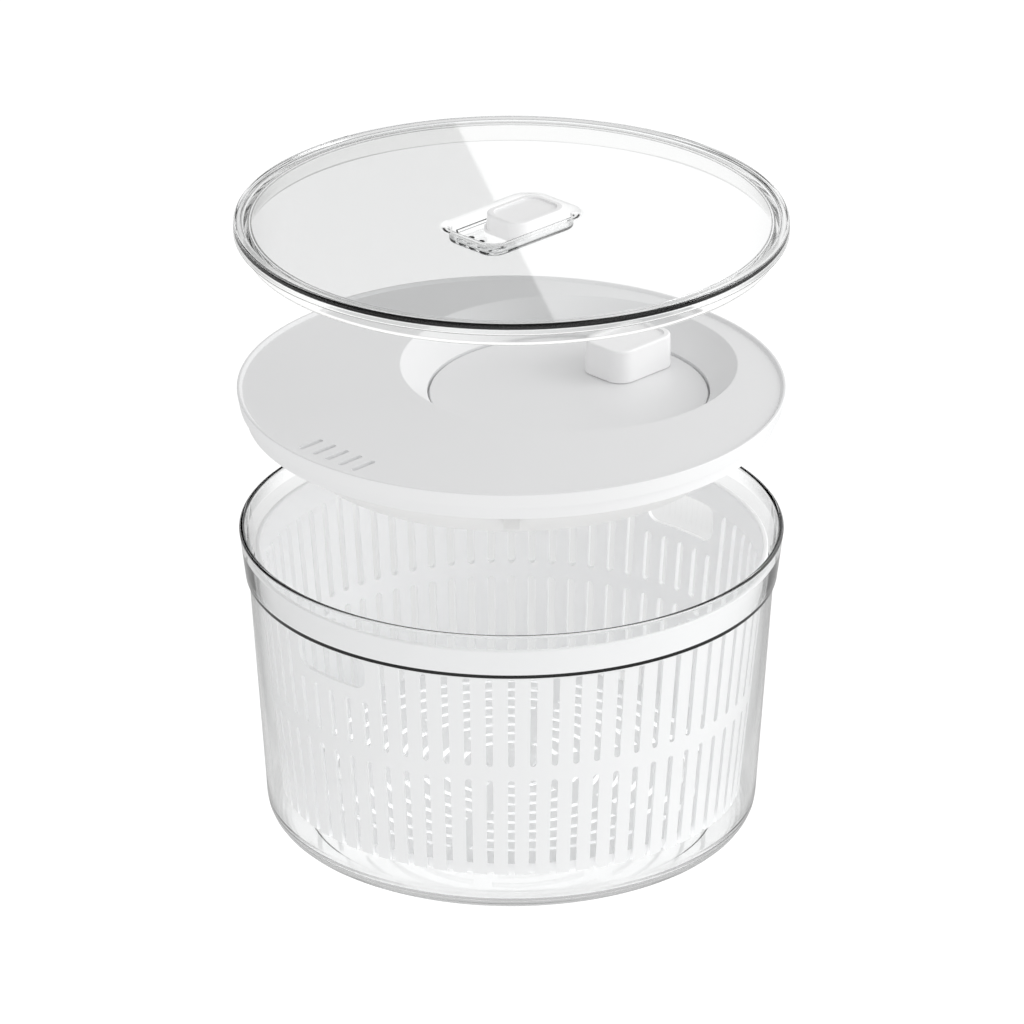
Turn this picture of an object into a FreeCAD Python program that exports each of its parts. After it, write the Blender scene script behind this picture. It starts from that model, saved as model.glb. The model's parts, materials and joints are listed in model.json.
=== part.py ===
import FreeCAD, Part
import math
import os
import re
import Sketcher

# Salad spinner: a clear bowl, a slotted basket that turns on a pivot in the bowl, a drive lid whose
# off-centre crank turns the basket through an internal gear, and a clear storage lid with a vent.
# The rest pose is the opened-up one: the drive lid and the clear lid hang above the bowl on their axis.
# The origin is under the middle of the bowl's foot, +Z is up, and +Y points to the crank knob.

DOC = FreeCAD.newDocument("salad_spinner")

# Driving dimensions, in millimetres, degrees or counts.
# Heights of the bowl and basket are above the foot. Heights of the drive lid's pieces are from the top
# of its outer bead, and heights of the clear lid's pieces are from the top of its rim, so they are
# negative below it.
DIMENSIONS = {
    # bowl
    "bowl_radius": 122, "bowl_height": 141.4, "bowl_wall": 2.5, "bowl_floor": 2.6,
    "mouth_radius": 119.5, "mouth_depth": 7, "shoulder_radius": 119.5, "shoulder_height": 120.4,
    "neck_radius": 117.5, "neck_height": 114, "foot_radius": 110, "foot_fillet": 12.5,
    "floor_fillet": 10, "foot_recess": 0.8, "foot_ring_radius": 92, "lip_fillet": 1,
    "boss_radius": 8, "boss_foot_radius": 12, "boss_height": 11,
    # pivot
    "pin_radius": 3, "pin_foot": 3.4, "pin_top": 20, "pin_chamfer": 0.8, "fit": 0.05,
    "bush_flange_foot": 11.4, "bush_flange_top": 13.1, "pivot_flange_radius": 10,
    "pivot_bush_radius": 6.5, "pivot_bush_room": 20.4, "pivot_bush_top": 22,
    "hub_radius": 9, "hub_foot": 13.5, "hub_room": 22.4, "hub_cap_radius": 12, "hub_top": 24.6,
    # basket
    "basket_rim_radius": 115.1, "basket_rim_top": 131.7, "basket_rim_foot": 118.2,
    "basket_rim_wall": 2.7, "basket_wall": 2, "basket_wall_top": 117.4,
    "basket_top_radius": 113.5, "basket_foot_radius": 103.8, "basket_foot": 17.1,
    "basket_floor_foot": 19.1, "basket_floor_top": 21.5, "floor_ring_radius": 97.5,
    "slot_width": 2.9, "slot_flare": 1.1, "slots_in_run": 31, "slot_pitch": 5,
    "short_slots": 5, "upper_slot_top": 117.9, "upper_slot_foot": 72.8, "lower_slot_top": 65.8,
    "short_slot_top": 95.9, "grip_width": 41, "grip_top": 119.1, "grip_foot": 101.9,
    "grip_corner": 6, "first_ring_slot": 22, "ring_slot_pitch": 9.2, "ring_slot_width": 1.7,
    "ring_slots": 8, "spokes": 6, "spoke_width": 8.5, "drive_rib_width": 2.2,
    "drive_rib_radius": 109, "drive_rib_foot": 121.4, "drive_rib_top": 130.5,
    # drive lid shell
    "drive_lid_level": 208.9, "bead_radius": 122.2, "bead_inner_radius": 120.8, "lid_face": -1.3,
    "lid_wall": 2.2, "lid_band_foot": -6.7, "lid_band_radius": 120.9, "plug_radius": 118.7,
    "plug_foot_radius": 118.1, "plug_foot": -13.1, "plug_wall": 2, "bead_fillet": 0.5,
    "crank_offset": 36.25, "well_radius": 75.4, "well_floor_radius": 63.4, "well_corner": -14,
    "well_wall": 2, "ledge_top": -18, "ledge_foot": -19.8, "ledge_radius": 56.2,
    "vents": 5, "vent_length": 13.8, "vent_width": 2.7, "vent_pitch": 8.2, "vent_middle": 107.6,
    "post_radius": 3.2, "post_circle": 82, "ledge_post_x": 46.5, "ledge_post_y": 73.5,
    "cover_screw_radius": 1.5, "cover_screw_head_radius": 2.7, "cover_screw_head": 1.1,
    "cover_screw_seat": -26, "cover_screw_tip": -17.5, "screw_hole_depth": 8,
    # gear cover, its bushes and the drive shaft
    "cover_radius": 93, "cover_top": -25, "cover_foot": -27.2, "cover_lip": 2.6,
    "cover_lip_wall": 1.8, "cover_boss_radius": 9.5, "axle_boss_top": -20.6,
    "shaft_boss_foot": -33, "bush_radius": 6.5, "axle_flange_top": -19.9,
    "shaft_flange_top": -24.4, "bush_flange_radius": 8.8, "clip_room_radius": 8,
    "clip_room_top": -25.6, "shaft_radius": 4, "shaft_foot": -39.2,
    # crank
    "disc_radius": 62.4, "disc_top": -14.8, "disc_wall": 2.6, "disc_hub_radius": 9.5,
    "disc_hub_foot": -19.5, "disc_fillet": 0.5, "axle_head_top": -16.2, "axle_foot": -27,
    "clip_top": -25.95, "clip_thickness": 0.8, "clip_groove_radius": 3.3, "clip_radius": 6.2,
    "gear_module": 1.25, "ring_teeth": 74, "pinion_teeth": 16, "pressure_angle": 20,
    "gear_backlash": 0.3, "ring_tip_radius": 45.3, "ring_root_radius": 47.81,
    "ring_radius": 51.5, "ring_foot": -24.2, "ring_flange_radius": 55.2, "ring_flange": 1.8,
    "ring_screw_circle": 53.4, "ring_screws": 6, "ring_screw_radius": 1,
    "ring_screw_head_radius": 1.6, "ring_screw_head": 0.9, "ring_screw_tip": -15.6,
    "pinion_tip_radius": 11.1, "pinion_root_radius": 8.4, "pinion_top": -19.6,
    "pinion_foot": -24,
    # knob
    "knob_reach": 38, "knob_length": 37, "knob_width": 27, "knob_corner": 8, "knob_top": 0.8,
    "knob_foot": -14.4, "knob_draft": 1, "knob_pin_radius": 3.5, "knob_pin_top": -5,
    "knob_washer_radius": 6, "knob_washer": 1.2, "knob_web_top": -5.3, "knob_room_radius": 7,
    "knob_screw_radius": 1.5, "knob_screw_tip": -12, "cap_length": 31.5, "cap_width": 21.5,
    "cap_corner": 6, "cap_wall": 1.3, "cap_drop": 0.9,
    # drive plate
    "plate_foot_radius": 94.7, "plate_foot": -29.6, "plate_wall": 1.8, "plate_side_wall": 2.6,
    "plate_top_radius": 109.2, "plate_top": -17, "plate_cup_radius": 17,
    "plate_cup_mouth_radius": 19.5, "plate_cup_foot": -35.9, "plate_cup_floor": -34.2,
    "plate_hub_radius": 8, "plate_hub_foot": -41, "lug_radius": 110.5, "lug_top": -16,
    "lug_foot": -21.4, "lug_width": 7, "lugs": 4, "plate_screw_radius": 1.5,
    "plate_screw_head_radius": 3.6, "plate_screw_head": 2, "plate_screw_tip": -30,
    "shaft_flat": 3,
    # clear lid
    "clear_lid_level": 288.9, "clear_radius": 122.7, "clear_face": -0.8, "clear_wall": 2,
    "clear_rim_foot": -5.3, "clear_rim_wall": 1.4, "clear_rim_inner_radius": 119.6,
    "seal_radius": 118.2, "seal_wall": 2.2, "seal_foot": -11.8, "seal_rib_wall": 1.2,
    "seal_rib_foot": -6, "pocket_length": 51.4, "pocket_width": 29, "pocket_corner": 6,
    "pocket_floor": -8.2, "pocket_foot": -9.5, "pocket_wall": 1.5, "pocket_fillet": 4,
    "pocket_vents": 4, "pocket_vent_pitch": 6.3, "pocket_vent_length": 9,
    "pocket_vent_width": 3, "pocket_vent_middle": 18.6, "rail_depth": 1.3,
    "rail_foot": -6, "rail_top": -4.8, "rail_length": 40,
    # vent slider
    "slider_length": 33, "slider_width": 24, "slider_corner": 7.5, "slider_top": 1.1,
    "slider_foot": -7.9, "slider_park": 8.7, "slider_flange_width": 27.4,
    "slider_flange_top": -6.4, "insert_length": 28, "insert_width": 19, "insert_corner": 6,
    "insert_wall": 1.3, "insert_drop": 0.9, "pad_length": 29, "pad_width": 23.4,
    "pad_wall": 1,
}

SHEET = DOC.addObject("Spreadsheet::Sheet", "dims")


def fill_sheet():
    for row, (alias, number) in enumerate(DIMENSIONS.items(), start=1):
        SHEET.set("A%d" % row, alias.replace("_", " "))
        SHEET.set("B%d" % row, str(number))
        SHEET.setAlias("B%d" % row, alias)
    DOC.recompute()


def size(alias):
    return float(SHEET.get(alias))


def bound(text):
    """An expression over the sheet's cells, from one written with their aliases alone."""
    def cell(found):
        word = found.group()
        return "dims." + word if word in DIMENSIONS else word
    return re.sub(r"[a-z]+(?:_[a-z]+)*", cell, text)


# ---------------------------------------------------------------- helpers for bodies and sketches


def new_body(name):
    body = DOC.addObject("PartDesign::Body", name)
    body.Label = name
    return body


def origin_feature(body, role):
    return next(item for item in body.Origin.OriginFeatures if item.Role == role)


def new_sketch(body, name, plane="XZ_Plane", shift="", turn=0):
    """A sketch on one of the body's own planes; shift moves it along the plane's normal, and turn
    swings it about the body's upright axis."""
    sketch = body.newObject("Sketcher::SketchObject", body.Name + "_" + name)
    sketch.AttachmentSupport = [(origin_feature(body, plane), "")]
    sketch.MapMode = "FlatFace"
    upright = FreeCAD.Vector(0, 0, 1) if plane == "XY_Plane" else FreeCAD.Vector(0, 1, 0)
    swing = FreeCAD.Rotation(upright, turn)
    sketch.AttachmentOffset = FreeCAD.Placement(FreeCAD.Vector(0, 0, 0), swing)
    if shift:
        sketch.setExpression("AttachmentOffset.Base.z", bound(shift))
    return sketch


def bind_point(sketch, edge, end, x_size, y_size):
    """Hold one end of an edge at a place whose two coordinates are expressions."""
    for kind, axis, expression in (("DistanceX", -2, x_size), ("DistanceY", -1, y_size)):
        if expression == "0":
            sketch.addConstraint(Sketcher.Constraint("PointOnObject", edge, end, axis))
        else:
            index = sketch.addConstraint(Sketcher.Constraint(kind, -1, 1, edge, end, 1.0))
            sketch.setExpression("Constraints[%d]" % index, bound(expression))


def draw_polygon(sketch, corners):
    """A closed outline through the corners, each a pair of expressions."""
    count = len(corners)
    first = sketch.GeometryCount
    rough = []
    for index in range(count):
        angle = 2 * math.pi * index / count
        rough.append(FreeCAD.Vector(20 + 10 * math.cos(angle), 10 * math.sin(angle), 0))
    for index in range(count):
        sketch.addGeometry(Part.LineSegment(rough[index], rough[(index + 1) % count]), False)
    for index in range(count):
        here = first + index
        after = first + (index + 1) % count
        sketch.addConstraint(Sketcher.Constraint("Coincident", here, 2, after, 1))
    for index, (x_size, y_size) in enumerate(corners):
        bind_point(sketch, first + index, 1, x_size, y_size)


def draw_circle(sketch, x_size, y_size, radius):
    circle = Part.Circle(FreeCAD.Vector(5, 5, 0), FreeCAD.Vector(0, 0, 1), 2)
    edge = sketch.addGeometry(circle, False)
    bind_point(sketch, edge, 3, x_size, y_size)
    index = sketch.addConstraint(Sketcher.Constraint("Radius", edge, 2.0))
    sketch.setExpression("Constraints[%d]" % index, bound(radius))


def draw_rounded_box(sketch, middle_x, middle_y, width, height, corner):
    """A rectangle with round corners, its middle, size and corner radius given as expressions."""
    left = "%s - (%s) / 2" % (middle_x, width)
    right = "%s + (%s) / 2" % (middle_x, width)
    low = "%s - (%s) / 2" % (middle_y, height)
    high = "%s + (%s) / 2" % (middle_y, height)
    vector = FreeCAD.Vector
    quarter = math.pi / 2
    lines = [(vector(-2, -4, 0), vector(2, -4, 0)), (vector(4, -2, 0), vector(4, 2, 0)),
             (vector(2, 4, 0), vector(-2, 4, 0)), (vector(-4, 2, 0), vector(-4, -2, 0))]
    centres = [vector(2, -2, 0), vector(2, 2, 0), vector(-2, 2, 0), vector(-2, -2, 0)]
    ids = []
    for index in range(4):
        ids.append(sketch.addGeometry(Part.LineSegment(*lines[index]), False))
        circle = Part.Circle(centres[index], vector(0, 0, 1), 2)
        start = quarter * (index - 1)
        ids.append(sketch.addGeometry(Part.ArcOfCircle(circle, start, start + quarter), False))
    for index in range(4):
        line, arc = ids[2 * index], ids[2 * index + 1]
        next_line = ids[(2 * index + 2) % 8]
        sketch.addConstraint(Sketcher.Constraint("Tangent", line, 2, arc, 1))
        sketch.addConstraint(Sketcher.Constraint("Tangent", arc, 2, next_line, 1))
        straight = "Horizontal" if index % 2 == 0 else "Vertical"
        sketch.addConstraint(Sketcher.Constraint(straight, line))
    for index in (1, 2, 3):
        sketch.addConstraint(Sketcher.Constraint("Equal", ids[1], ids[2 * index + 1]))
    radius = sketch.addConstraint(Sketcher.Constraint("Radius", ids[1], 2.0))
    sketch.setExpression("Constraints[%d]" % radius, bound(corner))
    sides = (("DistanceY", ids[0], low), ("DistanceX", ids[2], right),
             ("DistanceY", ids[4], high), ("DistanceX", ids[6], left))
    for kind, line, expression in sides:
        index = sketch.addConstraint(Sketcher.Constraint(kind, -1, 1, line, 1, 1.0))
        sketch.setExpression("Constraints[%d]" % index, bound(expression))


def add_feature(body, kind, name, profile):
    feature = body.newObject(kind, body.Name + "_" + name)
    feature.Profile = profile
    return feature


def settle(body, feature, cuts=None):
    """Recompute with the feature as the body's tip; cuts holds the volume that a cut must lower."""
    feature.Refine = cuts is None
    body.Tip = feature
    DOC.recompute()
    if cuts is not None and not feature.Shape.Volume < cuts - 0.01:
        raise RuntimeError("%s cuts nothing" % feature.Name)
    return feature


def revolve(body, name, corners, cut=False, shift="", turn=0, sweep="360"):
    """Turn a closed outline about the sketch's upright axis; cut takes it away instead. A sweep of
    less than a full turn is spread evenly to both sides of the sketch."""
    volume = body.Shape.Volume if cut else None
    sketch = new_sketch(body, name + "_outline", "XZ_Plane", shift, turn)
    draw_polygon(sketch, corners)
    kind = "PartDesign::Groove" if cut else "PartDesign::Revolution"
    feature = add_feature(body, kind, name, sketch)
    feature.ReferenceAxis = (sketch, ["V_Axis"])
    if sweep != "360":
        feature.Midplane = True
    feature.setExpression("Angle", bound(sweep))
    return settle(body, feature, volume)


def pad(body, name, sketch, length, middle=False, down=False, draft=""):
    feature = add_feature(body, "PartDesign::Pad", name, sketch)
    feature.setExpression("Length", bound(length))
    if middle:
        feature.SideType = "Symmetric"
    if draft:
        feature.setExpression("TaperAngle", bound(draft))
    feature.Reversed = down
    return settle(body, feature)


def pocket(body, name, sketch, length="", middle=False, up=False, lean=None):
    """Cut a sketch out of the body, against the sketch's normal unless up is set. A lean pair of
    expressions tips the cut's direction out along x and y for each unit of height."""
    volume = body.Shape.Volume
    feature = add_feature(body, "PartDesign::Pocket", name, sketch)
    if middle:
        feature.SideType = "Symmetric"
    if length:
        feature.setExpression("Length", bound(length))
    else:
        feature.Type = "ThroughAll"
    feature.Reversed = up
    if lean:
        feature.UseCustomVector = True
        feature.AlongSketchNormal = True
        feature.Direction = FreeCAD.Vector(0, 0, 1)
        feature.setExpression("Direction.x", bound(lean[0]))
        feature.setExpression("Direction.y", bound(lean[1]))
        feature.Reversed = False
    return settle(body, feature, volume)


def polar(body, name, originals, count, angle=360.0, cuts=True):
    feature = body.newObject("PartDesign::PolarPattern", body.Name + "_" + name)
    feature.Originals = originals
    feature.Axis = (origin_feature(body, "Z_Axis"), [""])
    feature.Angle = angle
    feature.setExpression("Occurrences", bound(count))
    return settle(body, feature, body.Shape.Volume if cuts else None)


def linear(body, name, originals, count, length):
    feature = body.newObject("PartDesign::LinearPattern", body.Name + "_" + name)
    feature.Originals = originals
    feature.Direction = (origin_feature(body, "X_Axis"), [""])
    feature.setExpression("Length", bound(length))
    feature.setExpression("Occurrences", bound(count))
    return settle(body, feature)


def mirror(body, name, originals, plane):
    feature = body.newObject("PartDesign::Mirrored", body.Name + "_" + name)
    feature.Originals = originals
    feature.MirrorPlane = (origin_feature(body, plane), [""])
    return settle(body, feature)


def fillet(body, name, radius, edges):
    """Round the named edges of the body's tip."""
    if not edges:
        raise RuntimeError("no edges for %s in %s" % (name, body.Label))
    base = body.Tip
    feature = body.newObject("PartDesign::Fillet", body.Name + "_" + name)
    feature.Base = (base, edges)
    feature.setExpression("Radius", bound(radius))
    return settle(body, feature)


def ring_edges(body, *places, forward=0.0):
    """Names of the tip's whole or part circles, about the upright axis at x = 0 and y = forward,
    that lie at one of the (radius, height) places."""
    names = []
    for index, edge in enumerate(body.Tip.Shape.Edges, start=1):
        curve = edge.Curve
        if not isinstance(curve, Part.Circle):
            continue
        if math.hypot(curve.Center.x, curve.Center.y - forward) > 0.01:
            continue
        for radius, height in places:
            if abs(curve.Radius - radius) < 0.02 and abs(curve.Center.z - height) < 0.02:
                names.append("Edge%d" % index)
                break
    return names


def flat_edges(body, height):
    """Names of the tip's edges that lie wholly at one height."""
    names = []
    for index, edge in enumerate(body.Tip.Shape.Edges, start=1):
        box = edge.BoundBox
        if abs(box.ZMin - height) < 0.01 and abs(box.ZMax - height) < 0.01:
            names.append("Edge%d" % index)
    return names


def place(piece, height="", forward=""):
    """Bind how high and how far towards +Y a piece sits."""
    if height:
        piece.setExpression("Placement.Base.z", bound(height))
    if forward:
        piece.setExpression("Placement.Base.y", bound(forward))
    DOC.recompute()
    return piece


def turned(name, corners, height="", forward=""):
    """A piece of revolution with its own outline, placed on its axis."""
    body = new_body(name)
    revolve(body, "turning", corners)
    return place(body, height, forward)


def turned_solid(corners):
    """The solid of revolution of an outline given in plain numbers."""
    points = [FreeCAD.Vector(radius, 0, height) for radius, height in corners]
    face = Part.Face(Part.makePolygon(points + points[:1]))
    return face.revolve(FreeCAD.Vector(0, 0, 0), FreeCAD.Vector(0, 0, 1), 360)


def cross_screw(tip, seat, radius, head_radius, head, upward=True):
    """A pan-head screw with a cross recess: its head sits on seat and its thread reaches tip."""
    away = -1 if upward else 1
    top = seat + away * head
    corners = [(0, tip), (radius * 0.6, tip), (radius, tip + away * radius), (radius, seat),
               (head_radius, seat), (head_radius, seat + away * head * 0.5),
               (head_radius * 0.7, top), (0, top)]
    solid = turned_solid(corners)
    long_side = head_radius * 1.1
    short_side = head_radius * 0.26
    depth = head * 0.55
    low = top if upward else top - depth
    for width, length in ((long_side, short_side), (short_side, long_side)):
        corner = FreeCAD.Vector(-width / 2, -length / 2, low)
        solid = solid.cut(Part.makeBox(width, length, depth, corner))
    return solid


def fixed_shape(name, shape, height=0.0, forward=0.0):
    """A piece whose shape comes straight from the sheet's values."""
    piece = DOC.addObject("Part::Feature", name)
    piece.Label = name
    piece.Shape = shape
    piece.Placement = FreeCAD.Placement(FreeCAD.Vector(0, forward, height), FreeCAD.Rotation())
    return piece


def moved(shape, x, y, z=0.0):
    copy = shape.copy()
    copy.translate(FreeCAD.Vector(x, y, z))
    return copy


# ---------------------------------------------------------------- gear teeth


def involute_point(base_radius, radius, offset):
    """Where a flank that leaves the base circle at the offset angle is when it reaches a radius."""
    if radius <= base_radius:
        return offset
    roll = math.sqrt((radius / base_radius) ** 2 - 1)
    return offset + roll - math.atan(roll)


def flank_curve(points):
    curve = Part.BSplineCurve()
    curve.interpolate(points)
    return curve.toShape()


def tooth_outline(teeth, tip_radius, root_radius, thickness):
    """A closed gear outline with one tooth centred on -Y; thickness is measured on the pitch circle."""
    pitch_radius = size("gear_module") * teeth / 2
    base_radius = pitch_radius * math.cos(math.radians(size("pressure_angle")))
    half_tooth = thickness / (2 * pitch_radius)
    offset = -half_tooth - involute_point(base_radius, pitch_radius, 0)
    steps = [0, 0.35, 0.7, 1]
    start_radius = max(base_radius, root_radius)
    radii = [start_radius + (tip_radius - start_radius) * step for step in steps]

    def point(radius, angle):
        return FreeCAD.Vector(radius * math.cos(angle), radius * math.sin(angle), 0)

    edges = []
    step_angle = 2 * math.pi / teeth
    flank_foot = involute_point(base_radius, start_radius, offset)
    for number in range(teeth):
        middle = number * step_angle - math.pi / 2
        rising = [point(radius, middle + involute_point(base_radius, radius, offset))
                  for radius in radii]
        falling = [point(radius, middle - involute_point(base_radius, radius, offset))
                   for radius in reversed(radii)]
        foot_in = point(root_radius, middle + flank_foot)
        foot_out = point(root_radius, middle - flank_foot)
        next_foot = point(root_radius, middle + step_angle + flank_foot)
        between = point(root_radius, middle + step_angle / 2)
        if root_radius < start_radius:
            edges.append(Part.makeLine(foot_in, rising[0]))
        edges.append(flank_curve(rising))
        edges.append(Part.Arc(rising[-1], point(tip_radius, middle), falling[0]).toShape())
        edges.append(flank_curve(falling))
        if root_radius < start_radius:
            edges.append(Part.makeLine(falling[-1], foot_out))
        edges.append(Part.Arc(foot_out, between, next_foot).toShape())
    return Part.Face(Part.Wire(edges))


def disc_solid(radius, foot, top, inner=0.0):
    solid = Part.makeCylinder(radius, top - foot, FreeCAD.Vector(0, 0, foot))
    if inner:
        solid = solid.cut(Part.makeCylinder(inner, top - foot, FreeCAD.Vector(0, 0, foot)))
    return solid


# ---------------------------------------------------------------- bowl


def make_outer_bowl():
    body = new_body("outer_bowl")
    revolve(body, "wall", [
        ("0", "foot_recess"), ("foot_ring_radius", "foot_recess"), ("foot_ring_radius", "0"),
        ("foot_radius", "0"), ("neck_radius", "neck_height"),
        ("shoulder_radius", "shoulder_height"), ("bowl_radius", "bowl_height"),
        ("mouth_radius", "bowl_height"), ("mouth_radius - 0.4", "bowl_height - mouth_depth"),
        ("shoulder_radius - bowl_wall", "shoulder_height"),
        ("neck_radius - bowl_wall", "neck_height"), ("foot_radius - bowl_wall", "bowl_floor"),
        ("boss_foot_radius", "bowl_floor"), ("boss_radius", "boss_height"),
        ("pin_radius", "boss_height"), ("pin_radius", "pin_foot"), ("0", "pin_foot")])
    foot = ring_edges(body, (size("foot_radius"), 0))
    fillet(body, "foot_round", "foot_fillet", foot)
    inner_foot = size("foot_radius") - size("bowl_wall")
    fillet(body, "floor_round", "floor_fillet", ring_edges(body, (inner_foot, size("bowl_floor"))))
    height = size("bowl_height")
    lip = ring_edges(body, (size("bowl_radius"), height), (size("mouth_radius"), height))
    fillet(body, "lip_round", "lip_fillet", lip)


def make_pivot():
    turned("bowl_pivot_pin", [
        ("0", "pin_foot"), ("pin_radius", "pin_foot"), ("pin_radius", "pin_top - pin_chamfer"),
        ("pin_radius - pin_chamfer", "pin_top"), ("0", "pin_top")])
    turned("pivot_bush", [
        ("pin_radius + fit", "bush_flange_foot"), ("pivot_flange_radius", "bush_flange_foot"),
        ("pivot_flange_radius", "bush_flange_top"), ("pivot_bush_radius", "bush_flange_top"),
        ("pivot_bush_radius", "pivot_bush_top"), ("0", "pivot_bush_top"),
        ("0", "pivot_bush_room"), ("pin_radius + fit", "pivot_bush_room")])
    turned("basket_hub", [
        ("pivot_bush_radius + fit", "hub_foot"), ("hub_radius", "hub_foot"),
        ("hub_radius", "basket_floor_top"), ("hub_cap_radius", "basket_floor_top"),
        ("hub_cap_radius - 0.8", "hub_top - 1"), ("hub_cap_radius - 4", "hub_top - 0.2"),
        ("0", "hub_top"), ("0", "hub_room"), ("pivot_bush_radius + fit", "hub_room")])


# ---------------------------------------------------------------- basket


LEAN = "(basket_top_radius - basket_foot_radius) / (basket_wall_top - basket_foot)"


def wall_slot(body, name, foot, height, turn):
    """One slot through the basket's leaning wall, a little wider on its inner side."""
    sketch = new_sketch(body, name + "_outline", "XY_Plane", foot, turn)
    face = "basket_foot_radius + %s * (%s - basket_foot)" % (LEAN, foot)
    inner = face + " - basket_wall - 0.4"
    outer = face + " + 3"
    narrow = "slot_width / 2"
    wide = "slot_width / 2 + slot_flare / 2"
    draw_polygon(sketch, [
        (inner, "-(%s)" % wide), (face, "-(%s)" % narrow), (outer, "-(%s)" % narrow),
        (outer, narrow), (face, narrow), (inner, wide)])
    lean = [LEAN + " * cos(%g deg)" % turn, LEAN + " * sin(%g deg)" % turn]
    return pocket(body, name, sketch, height, lean=lean)


def make_basket():
    body = new_body("basket")
    revolve(body, "wall", [
        ("hub_radius", "basket_floor_foot"), ("floor_ring_radius", "basket_floor_foot"),
        ("floor_ring_radius", "basket_foot"), ("basket_foot_radius", "basket_foot"),
        ("basket_top_radius", "basket_wall_top"), ("basket_rim_radius - 0.4", "basket_rim_foot"),
        ("basket_rim_radius", "basket_rim_top"),
        ("basket_rim_radius - basket_rim_wall", "basket_rim_top"),
        ("basket_rim_radius - basket_rim_wall - 0.2", "basket_rim_foot"),
        ("basket_top_radius - basket_wall", "basket_wall_top - 2"),
        ("basket_foot_radius - basket_wall + 0.4", "basket_floor_top"),
        ("hub_radius", "basket_floor_top")])
    rim = size("basket_rim_radius")
    rim_edges = ring_edges(body, (rim, size("basket_rim_top")),
                           (rim - size("basket_rim_wall"), size("basket_rim_top")))
    fillet(body, "rim_round", "0.8", rim_edges)

    arcs = []
    for number in range(int(size("ring_slots"))):
        inner = "first_ring_slot + %d * ring_slot_pitch" % number
        outer = inner + " + ring_slot_width"
        sweep = "360 / spokes - 2 * asin(spoke_width / 2 / (%s)) / 1 deg" % inner
        arcs.append(revolve(body, "arc_%d" % number, [
            (inner, "basket_floor_foot - 1"), (outer, "basket_floor_foot - 1"),
            (outer, "basket_floor_top + 1"), (inner, "basket_floor_top + 1")],
            cut=True, turn=30, sweep=sweep))
    polar(body, "arcs", arcs, "spokes")

    ribs = new_sketch(body, "rib_outline", "XZ_Plane")
    inside = "basket_rim_radius - basket_rim_wall / 2"
    draw_polygon(ribs, [
        ("drive_rib_radius", "drive_rib_foot"), (inside, "drive_rib_foot"),
        (inside, "drive_rib_top"), ("drive_rib_radius", "drive_rib_top")])
    rib = pad(body, "rib", ribs, "drive_rib_width", middle=True)
    polar(body, "ribs", [rib], "4", cuts=False)

    grip = new_sketch(body, "grip_outline", "XZ_Plane")
    draw_rounded_box(grip, "0", "(grip_top + grip_foot) / 2", "grip_width",
                     "grip_top - grip_foot", "grip_corner")
    pocket(body, "grips", grip, middle=True)

    half_turn_run = (size("slots_in_run") - 1) * size("slot_pitch")
    lower = wall_slot(body, "lower_slot", "basket_foot - 1", "lower_slot_top - basket_foot + 1", 0)
    polar(body, "lower_slots", [lower], "360 / slot_pitch")
    upper_height = "upper_slot_top - upper_slot_foot"
    short_height = "short_slot_top - upper_slot_foot"
    short_run = (size("short_slots") - 1) * size("slot_pitch")
    for side, middle in (("left", 180), ("right", 0)):
        turn = middle - half_turn_run / 2
        slot = wall_slot(body, side + "_slot", "upper_slot_foot", upper_height, turn)
        polar(body, side + "_slots", [slot], "slots_in_run", half_turn_run)
    for side, middle in (("front", 270), ("back", 90)):
        turn = middle - short_run / 2
        slot = wall_slot(body, side + "_slot", "upper_slot_foot", short_height, turn)
        polar(body, side + "_slots", [slot], "short_slots", short_run)


# ---------------------------------------------------------------- drive lid


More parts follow.
